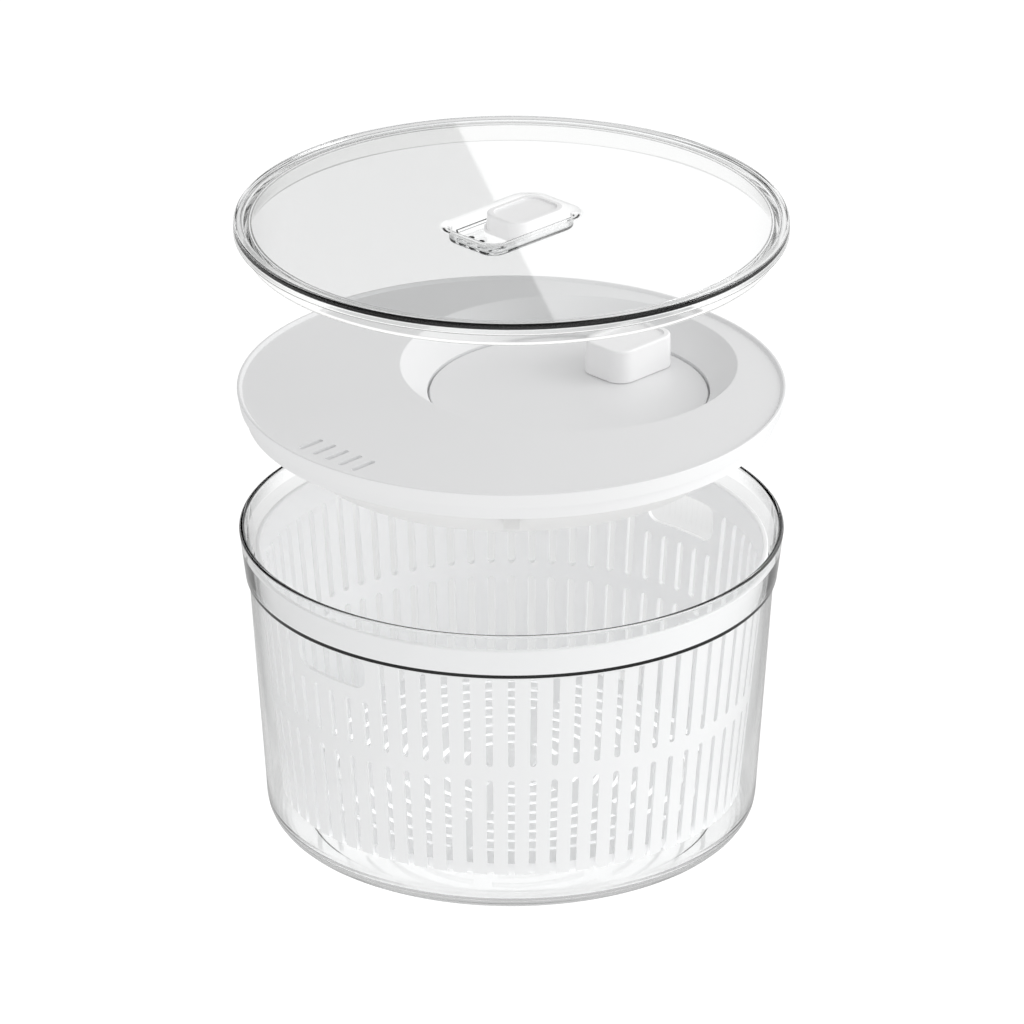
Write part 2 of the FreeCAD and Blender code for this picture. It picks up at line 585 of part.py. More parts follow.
def make_lid_shell():
    body = new_body("lid_shell")
    under = "lid_face - lid_wall"
    revolve(body, "dome", [
        ("0", "lid_face"), ("bead_inner_radius - 1.2", "lid_face"), ("bead_inner_radius", "0"),
        ("bead_radius", "0"), ("lid_band_radius", "lid_band_foot"),
        ("plug_radius", "lid_band_foot"), ("plug_foot_radius", "plug_foot"),
        ("plug_foot_radius - plug_wall", "plug_foot"), ("plug_radius - plug_wall", under),
        ("0", under)])
    bead = ring_edges(body, (size("bead_radius"), 0), (size("bead_inner_radius"), 0))
    fillet(body, "bead_round", "bead_fillet", bead)
    well = "-crank_offset"
    revolve(body, "well", [
        ("0", "lid_face - 0.6"), ("well_radius + 1.4 * well_wall - 0.6", "lid_face - 0.6"),
        ("well_floor_radius + well_wall", "well_corner - 0.6"),
        ("well_floor_radius + well_wall", "ledge_foot"), ("0", "ledge_foot")], shift=well)
    revolve(body, "well_room", [
        ("0", "2"), ("well_radius", "2"), ("well_radius", "lid_face"),
        ("well_floor_radius", "well_corner"), ("well_floor_radius", "ledge_top"),
        ("ledge_radius", "ledge_top"), ("ledge_radius", "ledge_foot - 1"),
        ("0", "ledge_foot - 1")], cut=True, shift=well)
    mouth = ring_edges(body, (size("well_radius"), size("lid_face")),
                       forward=size("crank_offset"))
    fillet(body, "well_round", "0.8", mouth)

    posts = new_sketch(body, "post_outline", "XY_Plane", "cover_top")
    drills = new_sketch(body, "screw_hole_outline", "XY_Plane", "cover_top - 1")
    for angle in (200, 250, 290, 340):
        place_x = "post_circle * cos(%d deg)" % angle
        place_y = "post_circle * sin(%d deg)" % angle
        draw_circle(posts, place_x, place_y, "post_radius")
        draw_circle(drills, place_x, place_y, "cover_screw_radius")
    pad(body, "posts", posts, "lid_face - lid_wall + 0.5 - cover_top")
    pocket(body, "screw_holes", drills, "screw_hole_depth + 1", up=True)
    ledge_posts = new_sketch(body, "ledge_post_outline", "XY_Plane", "cover_top")
    short_drills = new_sketch(body, "short_hole_outline", "XY_Plane", "cover_top - 1")
    for side in ("", "-"):
        draw_circle(ledge_posts, side + "ledge_post_x", "ledge_post_y", "post_radius")
        draw_circle(short_drills, side + "ledge_post_x", "ledge_post_y", "cover_screw_radius")
    pad(body, "ledge_posts", ledge_posts, "ledge_foot + 0.5 - cover_top")
    pocket(body, "short_screw_holes", short_drills, "ledge_top - 1 - cover_top + 1", up=True)

    vent = new_sketch(body, "vent_outline", "XY_Plane", "lid_face + 1")
    draw_rounded_box(vent, "-(vents - 1) / 2 * vent_pitch", "-vent_middle", "vent_width",
                     "vent_length", "vent_width / 2 - 0.05")
    slot = pocket(body, "vent", vent, "lid_wall + 1")
    linear(body, "vents", [slot], "vents", "(vents - 1) * vent_pitch")
    place(body, "drive_lid_level")


def make_gear_cover():
    body = new_body("gear_cover")
    inner_boss = "bush_radius"
    revolve(body, "plate", [
        (inner_boss, "cover_top"), ("cover_radius - cover_lip_wall", "cover_top"),
        ("cover_radius - cover_lip_wall", "cover_top + cover_lip"),
        ("cover_radius", "cover_top + cover_lip"), ("cover_radius", "cover_foot"),
        ("cover_boss_radius", "cover_foot"), ("cover_boss_radius", "shaft_boss_foot"),
        (inner_boss, "shaft_boss_foot")])
    well = "-crank_offset"
    revolve(body, "axle_boss", [
        ("bush_radius", "cover_foot + 0.1"), ("cover_boss_radius", "cover_foot + 0.1"),
        ("cover_boss_radius", "axle_boss_top"), ("bush_radius", "axle_boss_top")], shift=well)
    revolve(body, "axle_room", [
        ("0", "cover_foot - 1"), ("clip_room_radius", "cover_foot - 1"),
        ("clip_room_radius", "clip_room_top"), ("bush_radius", "clip_room_top"),
        ("bush_radius", "axle_boss_top + 1"), ("0", "axle_boss_top + 1")], cut=True, shift=well)
    places = []
    for angle in (200, 250, 290, 340):
        places.append(("post_circle * cos(%d deg)" % angle, "post_circle * sin(%d deg)" % angle))
    places += [("ledge_post_x", "ledge_post_y"), ("-ledge_post_x", "ledge_post_y")]
    holes = new_sketch(body, "hole_outline", "XY_Plane", "cover_foot - 1")
    sinks = new_sketch(body, "sink_outline", "XY_Plane", "cover_foot - 1")
    for place_x, place_y in places:
        draw_circle(holes, place_x, place_y, "cover_screw_radius + 0.2")
        draw_circle(sinks, place_x, place_y, "cover_screw_head_radius + 0.2")
    pocket(body, "holes", holes, "cover_top - cover_foot + 2", up=True)
    pocket(body, "sinks", sinks, "cover_screw_seat - cover_foot + 1", up=True)
    place(body, "drive_lid_level")


def make_bushes():
    turned("axle_bush", [
        ("shaft_radius + fit", "clip_room_top"), ("bush_radius", "clip_room_top"),
        ("bush_radius", "axle_boss_top"), ("bush_flange_radius", "axle_boss_top"),
        ("bush_flange_radius", "axle_flange_top"), ("shaft_radius + fit", "axle_flange_top")],
        "drive_lid_level", "crank_offset")
    turned("shaft_bush", [
        ("shaft_radius + fit", "shaft_boss_foot"), ("bush_radius", "shaft_boss_foot"),
        ("bush_radius", "cover_top"), ("bush_flange_radius", "cover_top"),
        ("bush_flange_radius", "shaft_flange_top"), ("shaft_radius + fit", "shaft_flange_top")],
        "drive_lid_level")


def make_cover_screws():
    screw = cross_screw(size("cover_screw_tip"), size("cover_screw_seat"),
                        size("cover_screw_radius"), size("cover_screw_head_radius"),
                        size("cover_screw_head"))
    short = cross_screw(size("ledge_foot") - 0.2, size("cover_screw_seat"),
                        size("cover_screw_radius"), size("cover_screw_head_radius"),
                        size("cover_screw_head"))
    group = []
    for angle in (200, 250, 290, 340):
        turn = math.radians(angle)
        reach = size("post_circle")
        group.append(moved(screw, reach * math.cos(turn), reach * math.sin(turn)))
    for side in (1, -1):
        group.append(moved(short, side * size("ledge_post_x"), size("ledge_post_y")))
    fixed_shape("cover_screws", Part.makeCompound(group), size("drive_lid_level"))


# ---------------------------------------------------------------- crank and knob


def make_crank():
    disc_under = "disc_top - disc_wall"
    body = new_body("crank_disc")
    revolve(body, "disc", [
        ("0", "disc_top"), ("disc_radius", "disc_top"), ("disc_radius", disc_under),
        ("disc_hub_radius", disc_under), ("disc_hub_radius", "disc_hub_foot"),
        ("shaft_radius", "disc_hub_foot"), ("shaft_radius", "axle_head_top"),
        ("0", "axle_head_top")])
    rim = ring_edges(body, (size("disc_radius"), size("disc_top")))
    fillet(body, "rim_round", "disc_fillet", rim)
    knob_hole = new_sketch(body, "knob_hole_outline", "XY_Plane", "disc_top")
    draw_circle(knob_hole, "0", "knob_reach", "knob_pin_radius")
    pocket(body, "knob_hole", knob_hole, "disc_wall")
    screw_hole = new_sketch(body, "screw_hole_outline", "XY_Plane", "disc_top - disc_wall")
    draw_circle(screw_hole, "ring_screw_circle", "0", "ring_screw_radius")
    hole = pocket(body, "screw_hole", screw_hole, "disc_wall - 0.7", up=True)
    polar(body, "screw_holes", [hole], "ring_screws")
    place(body, "drive_lid_level", "crank_offset")

    turned("crank_axle", [
        ("0", "axle_head_top"), ("shaft_radius", "axle_head_top"),
        ("shaft_radius", "clip_top"), ("clip_groove_radius", "clip_top"),
        ("clip_groove_radius", "clip_top - clip_thickness"),
        ("shaft_radius", "clip_top - clip_thickness"), ("shaft_radius", "axle_foot"),
        ("0", "axle_foot")], "drive_lid_level", "crank_offset")

    clip_foot = size("clip_top") - size("clip_thickness")
    clip = disc_solid(size("clip_radius"), clip_foot, size("clip_top"),
                      size("clip_groove_radius"))
    gap = Part.makeBox(3, 10, 3, FreeCAD.Vector(-1.5, 0, clip_foot - 1))
    fixed_shape("axle_circlip", clip.cut(gap), size("drive_lid_level"), size("crank_offset"))

    under = size("disc_top") - size("disc_wall")
    flange_foot = under - size("ring_flange")
    thickness = size("gear_module") * math.pi / 2 - size("gear_backlash")
    space = size("gear_module") * math.pi - thickness
    teeth = tooth_outline(int(size("ring_teeth")), size("ring_root_radius"),
                          size("ring_tip_radius"), space)
    teeth.translate(FreeCAD.Vector(0, 0, size("ring_foot") - 1))
    ring = disc_solid(size("ring_radius"), size("ring_foot"), under)
    ring = ring.fuse(disc_solid(size("ring_flange_radius"), flange_foot, under))
    ring = ring.cut(teeth.extrude(FreeCAD.Vector(0, 0, under - size("ring_foot") + 2)))
    screw = cross_screw(size("ring_screw_tip"), flange_foot, size("ring_screw_radius"),
                        size("ring_screw_head_radius"), size("ring_screw_head"))
    count = int(size("ring_screws"))
    screws = []
    for number in range(count):
        turn = 2 * math.pi * number / count
        x = size("ring_screw_circle") * math.cos(turn)
        y = size("ring_screw_circle") * math.sin(turn)
        screws.append(moved(screw, x, y))
        ring = ring.cut(moved(disc_solid(size("ring_screw_radius"), flange_foot - 1, under + 1),
                              x, y))
    ring = ring.removeSplitter()
    fixed_shape("ring_gear", ring, size("drive_lid_level"), size("crank_offset"))
    fixed_shape("gear_screws", Part.makeCompound(screws), size("drive_lid_level"),
                size("crank_offset"))


def make_knob():
    at_knob = "crank_offset + knob_reach"
    turned("knob_pin", [
        ("knob_screw_radius", "disc_top - disc_wall"), ("knob_pin_radius", "disc_top - disc_wall"),
        ("knob_pin_radius", "knob_pin_top"), ("knob_screw_radius", "knob_pin_top")],
        "drive_lid_level", at_knob)
    seat = size("knob_pin_top")
    washer_top = seat + size("knob_washer")
    washer = disc_solid(size("knob_washer_radius"), seat, washer_top)
    screw = cross_screw(size("knob_screw_tip"), washer_top, size("knob_screw_radius"), 3, 1.6,
                        upward=False)
    fixed_shape("knob_screw", washer.fuse(screw).removeSplitter(), size("drive_lid_level"),
                size("crank_offset") + size("knob_reach"))

    body = new_body("knob_body")
    base = new_sketch(body, "outline", "XY_Plane", "knob_foot")
    draw_rounded_box(base, "0", "0", "knob_width", "knob_length", "knob_corner")
    pad(body, "block", base, "knob_top - knob_foot", draft="-knob_draft")
    fillet(body, "top_round", "1", flat_edges(body, size("knob_top")))
    recess = new_sketch(body, "recess_outline", "XY_Plane", "knob_top")
    draw_rounded_box(recess, "0", "0", "cap_width", "cap_length", "cap_corner")
    pocket(body, "recess", recess, "cap_drop + cap_wall")
    revolve(body, "bore", [
        ("0", "knob_foot - 1"), ("knob_pin_radius + fit", "knob_foot - 1"),
        ("knob_pin_radius + fit", "knob_web_top"), ("knob_room_radius", "knob_web_top"),
        ("knob_room_radius", "knob_top + 1"), ("0", "knob_top + 1")], cut=True)
    place(body, "drive_lid_level", at_knob)

    cap = new_body("knob_cap")
    face = new_sketch(cap, "outline", "XY_Plane", "knob_top - cap_drop - cap_wall")
    draw_rounded_box(face, "0", "0", "cap_width - 0.1", "cap_length - 0.1", "cap_corner - 0.05")
    pad(cap, "plate", face, "cap_wall")
    fillet(cap, "edge_round", "0.3", flat_edges(cap, size("knob_top") - size("cap_drop")))
    place(cap, "drive_lid_level", at_knob)


# ---------------------------------------------------------------- drive rotor


def make_rotor():
    body = new_body("drive_plate")
    lean = "(plate_top_radius - plate_foot_radius) / (plate_top - plate_foot)"
    revolve(body, "plate", [
        ("plate_screw_radius + 0.2", "plate_hub_foot"), ("plate_hub_radius", "plate_hub_foot"),
        ("plate_hub_radius", "plate_cup_foot"), ("plate_cup_radius", "plate_cup_foot"),
        ("plate_cup_mouth_radius", "plate_foot"), ("plate_foot_radius", "plate_foot"),
        ("plate_top_radius", "plate_top"), ("plate_top_radius - plate_side_wall", "plate_top"),
        ("plate_foot_radius - plate_side_wall + %s * plate_wall" % lean,
         "plate_foot + plate_wall"),
        ("plate_cup_mouth_radius - 1.6", "plate_foot + plate_wall"),
        ("plate_cup_radius - 1.8", "plate_cup_floor"), ("shaft_radius", "plate_cup_floor"),
        ("shaft_radius", "shaft_foot"), ("plate_screw_radius + 0.2", "shaft_foot")])
    outline = new_sketch(body, "lug_outline", "XZ_Plane", turn=45)
    middle = "plate_side_wall / 2"
    low_radius = "plate_foot_radius + %s * (lug_foot - plate_foot) - %s" % (lean, middle)
    draw_polygon(outline, [
        ("plate_top_radius - " + middle, "lug_top"), ("lug_radius", "lug_top"),
        ("lug_radius", "lug_foot"), (low_radius, "lug_foot"),
        ("plate_top_radius - " + middle, "plate_top")])
    lug = pad(body, "lug", outline, "lug_width", middle=True)
    polar(body, "lugs", [lug], "lugs", cuts=False)
    key = new_sketch(body, "key_outline", "XY_Plane", "shaft_foot")
    draw_polygon(key, [("shaft_flat", "-3.2"), ("shaft_radius + 0.6", "-3.2"),
                       ("shaft_radius + 0.6", "3.2"), ("shaft_flat", "3.2")])
    pad(body, "key", key, "plate_cup_floor - shaft_foot")
    place(body, "drive_lid_level")

    shaft = new_body("drive_shaft")
    revolve(shaft, "rod", [
        ("0", "pinion_top"), ("shaft_radius", "pinion_top"), ("shaft_radius", "shaft_foot"),
        ("plate_screw_radius", "shaft_foot"), ("plate_screw_radius", "plate_screw_tip"),
        ("0", "plate_screw_tip")])
    flat = new_sketch(shaft, "flat_outline", "XY_Plane", "shaft_foot")
    draw_polygon(flat, [("shaft_flat", "-5"), ("shaft_radius + 1", "-5"),
                        ("shaft_radius + 1", "5"), ("shaft_flat", "5")])
    pocket(shaft, "flat", flat, "plate_cup_floor - shaft_foot", up=True)
    place(shaft, "drive_lid_level")

    screw = cross_screw(size("plate_screw_tip"), size("plate_hub_foot"),
                        size("plate_screw_radius"), size("plate_screw_head_radius"),
                        size("plate_screw_head"))
    fixed_shape("plate_screw", screw, size("drive_lid_level"))

    thickness = size("gear_module") * math.pi / 2 - size("gear_backlash")
    teeth = tooth_outline(int(size("pinion_teeth")), size("pinion_tip_radius"),
                          size("pinion_root_radius"), thickness)
    foot = size("pinion_foot")
    length = size("pinion_top") - foot
    teeth.translate(FreeCAD.Vector(0, 0, foot))
    gear = teeth.extrude(FreeCAD.Vector(0, 0, length))
    gear = gear.cut(disc_solid(size("shaft_radius"), foot - 1, foot + length + 1))
    fixed_shape("pinion", gear, size("drive_lid_level"))


# ---------------------------------------------------------------- clear lid and its vent


def make_clear_lid():
    body = new_body("clear_lid")
    under = "clear_face - clear_wall"
    revolve(body, "plate", [
        ("0", "clear_face"), ("clear_rim_inner_radius - 1", "clear_face"),
        ("clear_rim_inner_radius", "0"), ("clear_radius", "0"),
        ("clear_radius", "clear_rim_foot"), ("clear_radius - clear_rim_wall", "clear_rim_foot"),
        ("clear_radius - clear_rim_wall", under),
        ("seal_radius - seal_wall", under), ("seal_radius - seal_wall", "seal_rib_foot"),
        ("seal_radius - seal_wall - seal_rib_wall", "seal_rib_foot"),
        ("seal_radius - seal_wall - seal_rib_wall", under), ("0", under)])
    rim = ring_edges(body, (size("clear_radius"), 0))
    fillet(body, "rim_round", "1.4", rim)
    rim = ring_edges(body, (size("clear_rim_inner_radius"), 0))
    fillet(body, "rim_inner_round", "0.6", rim)

    outer = new_sketch(body, "pocket_outline", "XY_Plane", "pocket_foot")
    draw_rounded_box(outer, "0", "0", "pocket_width + 2 * pocket_wall",
                     "pocket_length + 2 * pocket_wall", "pocket_corner + pocket_wall")
    pad(body, "pocket", outer, "clear_face - 0.5 - pocket_foot")
    inner = new_sketch(body, "pocket_room_outline", "XY_Plane", "pocket_floor")
    draw_rounded_box(inner, "0", "0", "pocket_width", "pocket_length", "pocket_corner")
    pocket(body, "pocket_room", inner, "clear_face + 1 - pocket_floor", up=True)
    root = box_edges(body, size("clear_face") - size("clear_wall"),
                     size("pocket_width") + 2 * size("pocket_wall"),
                     size("pocket_length") + 2 * size("pocket_wall"))
    fillet(body, "pocket_root_round", "pocket_fillet", root)
    mouth = box_edges(body, size("clear_face"), size("pocket_width"), size("pocket_length"))
    fillet(body, "pocket_mouth_round", "pocket_fillet", mouth)

    vent = new_sketch(body, "vent_outline", "XY_Plane", "pocket_floor + 1")
    draw_rounded_box(vent, "-(pocket_vents - 1) / 2 * pocket_vent_pitch", "-pocket_vent_middle",
                     "pocket_vent_width", "pocket_vent_length", "pocket_vent_width / 2 - 0.05")
    slot = pocket(body, "vent", vent, "pocket_floor - pocket_foot + 2")
    linear(body, "vents", [slot], "pocket_vents", "(pocket_vents - 1) * pocket_vent_pitch")

    rails = new_sketch(body, "rail_outline", "XY_Plane", "rail_foot")
    low = "pocket_width / 2 - rail_depth"
    draw_polygon(rails, [
        (low, "-rail_length / 2"), ("pocket_width / 2 + 0.5", "-rail_length / 2"),
        ("pocket_width / 2 + 0.5", "rail_length / 2"), (low, "rail_length / 2")])
    rail = pad(body, "rail", rails, "rail_top - rail_foot")
    mirror(body, "rails", [rail], "YZ_Plane")
    place(body, "clear_lid_level")

    turned("lid_seal", [
        ("seal_radius - seal_wall", under), ("seal_radius", under),
        ("seal_radius", "seal_foot + 1.2"), ("seal_radius - 0.6", "seal_foot"),
        ("seal_radius - seal_wall + 0.6", "seal_foot"),
        ("seal_radius - seal_wall", "seal_foot + 1.2")], "clear_lid_level")


def box_edges(body, height, width, length):
    """Names of the tip's edges at one height that run round a rounded box about the body's axis."""
    names = []
    for name in flat_edges(body, height):
        box = body.Tip.Shape.getElement(name).BoundBox
        across = max(abs(box.XMin), abs(box.XMax))
        along = max(abs(box.YMin), abs(box.YMax))
        if across < width / 2 + 0.02 and along < length / 2 + 0.02:
            names.append(name)
    return names


def make_vent_slider():
    body = new_body("vent_slider")
    base = new_sketch(body, "base_outline", "XY_Plane", "slider_foot")
    draw_rounded_box(base, "0", "0", "slider_flange_width", "slider_length", "slider_corner")
    pad(body, "base", base, "slider_flange_top - slider_foot")
    block = new_sketch(body, "block_outline", "XY_Plane", "slider_flange_top - 0.5")
    draw_rounded_box(block, "0", "0", "slider_width", "slider_length", "slider_corner")
    pad(body, "block", block, "slider_top - slider_flange_top + 0.5")
    fillet(body, "top_round", "1", flat_edges(body, size("slider_top")))
    recess = new_sketch(body, "recess_outline", "XY_Plane", "slider_top")
    draw_rounded_box(recess, "0", "0", "insert_width", "insert_length", "insert_corner")
    pocket(body, "recess", recess, "insert_drop + insert_wall")
    seat = new_sketch(body, "pad_seat_outline", "XY_Plane", "slider_foot")
    draw_rounded_box(seat, "0", "0", "pad_width", "pad_length", "insert_corner")
    pocket(body, "pad_seat", seat, "pad_wall", up=True)
    place(body, "clear_lid_level", "slider_park")

    insert = new_body("slider_insert")
    face = new_sketch(insert, "outline", "XY_Plane", "slider_top - insert_drop - insert_wall")
    draw_rounded_box(face, "0", "0", "insert_width - 0.1", "insert_length - 0.1",
                     "insert_corner - 0.05")
    pad(insert, "plate", face, "insert_wall")
    top = size("slider_top") - size("insert_drop")
    fillet(insert, "edge_round", "0.3", flat_edges(insert, top))
    place(insert, "clear_lid_level", "slider_park")

    vent_pad = new_body("vent_pad")
    sole = new_sketch(vent_pad, "outline", "XY_Plane", "slider_foot")
    draw_rounded_box(sole, "0", "0", "pad_width - 0.1", "pad_length - 0.1",
                     "insert_corner - 0.05")
    pad(vent_pad, "sole", sole, "pad_wall")
    place(vent_pad, "clear_lid_level", "slider_park")


# ---------------------------------------------------------------- build, check and write


def check_document():
    for item in DOC.Objects:
        bad = [state for state in item.State if state in ("Invalid", "Error")]
        if bad:
            raise RuntimeError("%s is %s" % (item.Name, bad))


def sub_parts():
    return [item for item in DOC.Objects
            if item.TypeId in ("PartDesign::Body", "Part::Feature")]


def write_parts():
    os.makedirs("parts", exist_ok=True)
    for piece in sub_parts():
        shape = piece.Shape
        if shape.isNull() or not shape.isValid():
            raise RuntimeError("%s has no sound shape" % piece.Label)
        shape.exportStep("parts/%s.step" % piece.Label)
        print("%-16s %3d solids %9.1f mm3" % (piece.Label, len(shape.Solids), shape.Volume))


fill_sheet()
make_outer_bowl()
make_pivot()
make_basket()
make_lid_shell()
make_gear_cover()
make_bushes()
make_cover_screws()
make_crank()
make_knob()
make_rotor()
make_clear_lid()
make_vent_slider()
DOC.recompute()
check_document()
write_parts()
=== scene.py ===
import json
import math

import bmesh
import bpy
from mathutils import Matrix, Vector


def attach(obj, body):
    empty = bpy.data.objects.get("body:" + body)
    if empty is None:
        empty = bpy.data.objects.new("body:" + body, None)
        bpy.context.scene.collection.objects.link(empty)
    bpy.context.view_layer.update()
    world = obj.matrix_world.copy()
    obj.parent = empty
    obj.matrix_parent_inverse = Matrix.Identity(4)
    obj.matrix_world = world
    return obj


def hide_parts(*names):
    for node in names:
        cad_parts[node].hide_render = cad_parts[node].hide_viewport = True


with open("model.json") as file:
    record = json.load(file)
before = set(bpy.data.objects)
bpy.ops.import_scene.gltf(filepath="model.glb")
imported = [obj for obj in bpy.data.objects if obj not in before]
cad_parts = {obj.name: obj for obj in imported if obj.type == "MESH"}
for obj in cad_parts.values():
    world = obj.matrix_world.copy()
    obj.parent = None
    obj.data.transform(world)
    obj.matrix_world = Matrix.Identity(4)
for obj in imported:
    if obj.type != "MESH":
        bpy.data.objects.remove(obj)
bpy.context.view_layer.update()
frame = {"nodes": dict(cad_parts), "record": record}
nodes = frame["nodes"]

MM = 0.001
ROUND, BASKET_ROUND = 320, 360
SHARP_ANGLE = math.radians(32)


# ---------------------------------------------------------------- materials

FLOW_SCALE, GRAIN_SCALE, HAZE_SCALE = 14, 900, 60
FLOW_SHADE = 0.012
GRAIN_DEPTH = 0.0002


def new_material(name):
    material = bpy.data.materials.new(name)
    material.use_nodes = True
    tree = material.node_tree
    tree.nodes.clear()
    output = tree.nodes.new("ShaderNodeOutputMaterial")
    shader = tree.nodes.new("ShaderNodeBsdfPrincipled")
    tree.links.new(shader.outputs["BSDF"], output.inputs["Surface"])
    return material, tree, shader, output


def noise(tree, scale):
    place = tree.nodes.new("ShaderNodeTexCoord")
    texture = tree.nodes.new("ShaderNodeTexNoise")
    texture.inputs["Scale"].default_value = scale
    texture.inputs["Detail"].default_value = 2.0
    texture.inputs["Roughness"].default_value = 0.55
    tree.links.new(place.outputs["Object"], texture.inputs["Vector"])
    return texture.outputs["Fac"]


def spread(tree, value, low, high):
    """The 0 to 1 value mapped to the range from low to high."""
    ramp = tree.nodes.new("ShaderNodeMapRange")
    ramp.inputs["From Min"].default_value = 0.3
    ramp.inputs["From Max"].default_value = 0.7
    ramp.inputs["To Min"].default_value = low
    ramp.inputs["To Max"].default_value = high
    tree.links.new(value, ramp.inputs["Value"])
    return ramp.outputs["Result"]


def moulded_plastic(name, colour, roughness, grain=0.02, glow=0.0):
    """Opaque moulded plastic: a fine spark-eroded grain, slow flow-line shading and uneven gloss.
    A small glow is painted light, standing in for the light that soaks through thin walls."""
    material, tree, shader, output = new_material(name)
    slow = noise(tree, FLOW_SCALE)
    fine = noise(tree, GRAIN_SCALE)
    tint = tree.nodes.new("ShaderNodeMix")
    tint.data_type = "RGBA"
    darker = [channel * (1 - FLOW_SHADE) for channel in colour]
    lighter = [min(1.0, channel * (1 + FLOW_SHADE)) for channel in colour]
    tint.inputs["A"].default_value = (*darker, 1)
    tint.inputs["B"].default_value = (*lighter, 1)
    tree.links.new(slow, tint.inputs["Factor"])
    tree.links.new(tint.outputs["Result"], shader.inputs["Base Color"])
    tree.links.new(spread(tree, fine, roughness * 0.88, roughness * 1.12),
                   shader.inputs["Roughness"])
    shader.inputs["Specular IOR Level"].default_value = 0.5
    bump = tree.nodes.new("ShaderNodeBump")
    bump.inputs["Strength"].default_value = grain
    bump.inputs["Distance"].default_value = GRAIN_DEPTH
    tree.links.new(fine, bump.inputs["Height"])
    tree.links.new(bump.outputs["Normal"], shader.inputs["Normal"])
    # Painted light: a small even white emission that brightens the whole part.
    if glow:
        shader.inputs["Emission Color"].default_value = (1, 1, 1, 1)
        shader.inputs["Emission Strength"].default_value = glow
    return material


def turned_steel(name, colour):
    """Turned stainless steel with fine rings of tool marks."""
    material, tree, shader, output = new_material(name)
    place = tree.nodes.new("ShaderNodeTexCoord")
    rings = tree.nodes.new("ShaderNodeTexWave")
    rings.wave_type = "RINGS"
    rings.rings_direction = "Z"
    rings.inputs["Scale"].default_value = 700
    rings.inputs["Distortion"].default_value = 1.5
    tree.links.new(place.outputs["Object"], rings.inputs["Vector"])
    shader.inputs["Base Color"].default_value = (*colour, 1)
    shader.inputs["Metallic"].default_value = 1.0
    tree.links.new(spread(tree, rings.outputs["Fac"], 0.24, 0.4), shader.inputs["Roughness"])
    return material


def clear_plastic(name, colour, haze=0.0, index=1.49):
    """Clear polished plastic. Light from lamps and white parts passes straight through it."""
    material, tree, shader, output = new_material(name)
    shader.inputs["Base Color"].default_value = (*colour, 1)
    shader.inputs["Transmission Weight"].default_value = 1.0
    shader.inputs["IOR"].default_value = index
    shader.inputs["Specular IOR Level"].default_value = 0.5
    gloss = spread(tree, noise(tree, HAZE_SCALE), haze, haze + 0.012)
    tree.links.new(gloss, shader.inputs["Roughness"])
    path = tree.nodes.new("ShaderNodeLightPath")
    either = tree.nodes.new("ShaderNodeMath")
    either.operation = "MAXIMUM"
    tree.links.new(path.outputs["Is Shadow Ray"], either.inputs[0])
    tree.links.new(path.outputs["Is Diffuse Ray"], either.inputs[1])
    passing = tree.nodes.new("ShaderNodeBsdfTransparent")
    passing.inputs["Color"].default_value = (0.985, 0.985, 0.985, 1)
    mix = tree.nodes.new("ShaderNodeMixShader")
    tree.links.new(either.outputs["Value"], mix.inputs["Fac"])
    tree.links.new(shader.outputs["BSDF"], mix.inputs[1])
    tree.links.new(passing.outputs["BSDF"], mix.inputs[2])
    tree.links.new(mix.outputs["Shader"], output.inputs["Surface"])
    return material


seal_clear = clear_plastic("clear_silicone", (0.97, 0.97, 0.965), haze=0.05, index=1.3)
# The basket's and the knob's plastics get a small painted glow.
white_basket = moulded_plastic("white_basket", (0.90, 0.903, 0.907), 0.34, glow=0.035)
white_lid = moulded_plastic("white_lid", (0.86, 0.863, 0.867), 0.36)
white_knob = moulded_plastic("white_knob", (0.94, 0.94, 0.943), 0.33, glow=0.02)
inner_plastic = moulded_plastic("inner_plastic", (0.78, 0.78, 0.775), 0.5, grain=0.05)
gear_plastic = moulded_plastic("gear_plastic", (0.82, 0.80, 0.74), 0.42, grain=0.03)
steel = turned_steel("steel", (0.60, 0.60, 0.61))
clear = clear_plastic("clear_plastic", (0.985, 0.99, 0.99))

FINISH = {"clear_plastic": clear, "white_basket": white_basket, "white_lid": white_lid,
          "white_knob": white_knob, "clear_seal": seal_clear, "inner_plastic": inner_plastic,
          "gear_plastic": gear_plastic, "steel": steel}

for part in frame["record"]["subparts"]:
    thing = nodes[part["node"]]
    finish = FINISH[part["material_slot"]]
    if not thing.data.materials:
        thing.data.materials.append(finish)
    for index in range(len(thing.material_slots)):
        thing.material_slots[index].material = finish


# ---------------------------------------------------------------- mesh helpers


def make_piece(name, points, faces, finish, slot, body, *replaced):
    """A smooth-shaded mesh piece, sized in millimetres, that rides on a body."""
    mesh = bpy.data.meshes.new(name)
    mesh.from_pydata([(x * MM, y * MM, z * MM) for x, y, z in points], [], faces)
    face_outward(mesh)
    piece = bpy.data.objects.new(name, mesh)
    bpy.context.scene.collection.objects.link(piece)
    mesh.materials.append(finish)
    shade(mesh)
    if body:
        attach(piece, body)
        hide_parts(*replaced)
    return piece


def face_outward(mesh):
    edit = bmesh.new()
    edit.from_mesh(mesh)
    bmesh.ops.recalc_face_normals(edit, faces=edit.faces)
    edit.to_mesh(mesh)
    edit.free()


def shade(mesh):
    mesh.polygons.foreach_set("use_smooth", [True] * len(mesh.polygons))
    mesh.set_sharp_from_angle(angle=SHARP_ANGLE)


